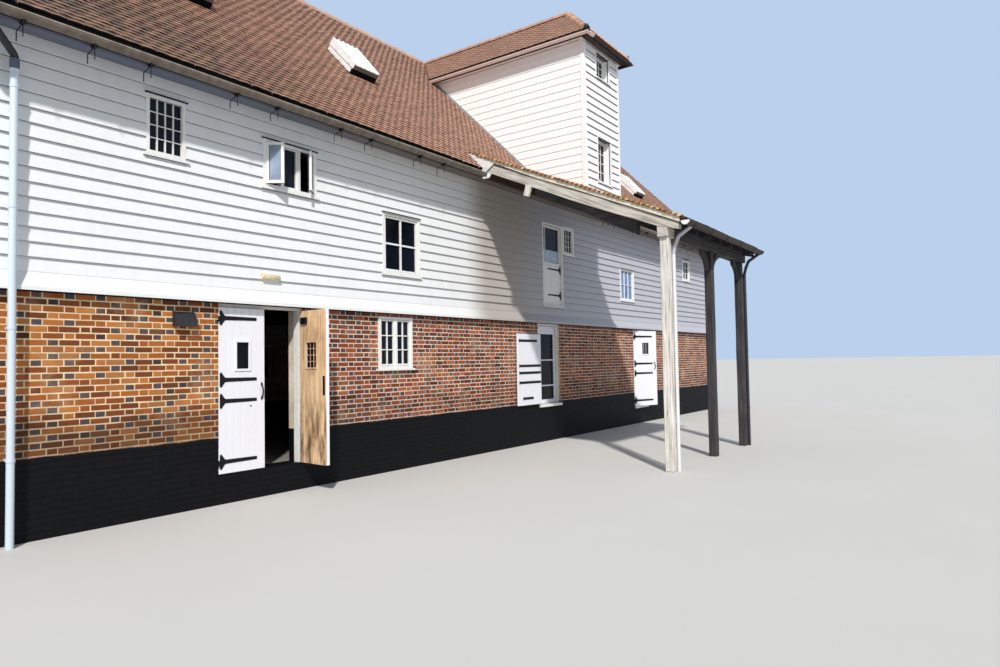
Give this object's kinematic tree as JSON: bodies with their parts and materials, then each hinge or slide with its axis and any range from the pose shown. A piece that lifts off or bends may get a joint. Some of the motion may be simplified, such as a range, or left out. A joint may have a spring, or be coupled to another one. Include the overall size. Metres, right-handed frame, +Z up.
{
  "type": "weatherboarded mill building",
  "caption": "Long weatherboarded timber storey on a brick ground floor under a steep tiled roof, with a hoist tower, a post-carried tiled canopy and hinged plank doors.",
  "frame": {"origin": "on the level ground under the middle of the main building, on the underside of its floor slab", "axes": "+X along the front to the right as seen from outside, +Y from the front into the building, +Z up"},
  "size_m": [22.9, 13.03, 10.0695],
  "materials": {
    "tarred_brick": "black bituminous paint on brickwork",
    "concrete": "worn floor slab",
    "brick": "multi-coloured facing bricks in lime mortar",
    "boards": "white-painted feather-edged boards",
    "floor_timber": "worn floorboards",
    "roof_tiles": "weathered plain clay tiles",
    "painted_timber": "white gloss paint",
    "weathered_oak": "silver-grey weathered oak",
    "black_iron": "black paint",
    "window_glass": "clear",
    "gutter_metal": "grey-beige paint",
    "rooflight_paint": "white paint",
    "lamp_body": "opal and black bulkheads"
  },
  "bodies": {
    "building": {"footing": "tarred_brick", "ground_floor": "concrete", "front_brick_wall_left": "brick", "front_brick_wall_middle": "brick", "front_brick_wall_shaded": "brick", "front_brick_wall_right": "brick", "back_brick_wall": "brick", "left_brick_gable": "brick", "right_brick_gable": "brick", "front_boarded_wall": "boards", "back_boarded_wall": "boards", "left_boarded_gable": "boards", "right_boarded_gable": "boards", "first_floor": "floor_timber", "attic_floor": "floor_timber", "front_roof": "roof_tiles", "back_roof": "roof_tiles", "ridge": "roof_tiles", "soffits": "painted_timber", "tower_walls": "boards", "tower_roof": "roof_tiles", "canopy_roof": "roof_tiles", "canopy_rafters": "weathered_oak", "canopy_beams": "weathered_oak", "canopy_post_left": "weathered_oak", "canopy_post_middle": "weathered_oak", "canopy_post_right": "weathered_oak", "canopy_cheek": "boards", "door_frames": "painted_timber", "door_sills": "painted_timber", "door_pintles": "black_iron", "loading_door": "painted_timber", "front_windows": "painted_timber", "open_window": "painted_timber", "rear_windows": "painted_timber", "window_glass": "window_glass", "gutters": "gutter_metal", "downpipes": "gutter_metal", "rooflights": "rooflight_paint", "lamps": "lamp_body"},
    "door_1_left": {"door_1_left_leaf": "painted_timber"},
    "door_1_right": {"door_1_right_leaf": "painted_timber"},
    "door_2_boarded": {"door_2_boarded_leaf": "painted_timber"},
    "door_2_glazed": {"door_2_glazed_leaf": "painted_timber"},
    "door_3": {"door_3_leaf": "painted_timber"}
  },
  "joints": [
    {"name": "door_1_left_hinge", "type": "hinge", "parent": "building", "child": "door_1_left", "pos_m": [-8.344, -3.914, 1.4], "axis": [0, 0, -1], "range_deg": [0, 90]},
    {"name": "door_1_right_hinge", "type": "hinge", "parent": "building", "child": "door_1_right", "pos_m": [-6.946, -3.914, 1.4], "axis": [0, 0, 1], "range_deg": [-85, 5]},
    {"name": "door_2_boarded_hinge", "type": "hinge", "parent": "building", "child": "door_2_boarded", "pos_m": [-0.244, -3.914, 1.86], "axis": [0, 0, 1], "range_deg": [0, 180]},
    {"name": "door_2_glazed_hinge", "type": "hinge", "parent": "building", "child": "door_2_glazed", "pos_m": [-0.199, -3.736, 1.86], "axis": [0, 0, 1], "range_deg": [0, 90]},
    {"name": "door_3_hinge", "type": "hinge", "parent": "building", "child": "door_3", "pos_m": [4.906, -3.914, 1.5], "axis": [0, 0, -1], "range_deg": [-22, 68]}
  ]
}
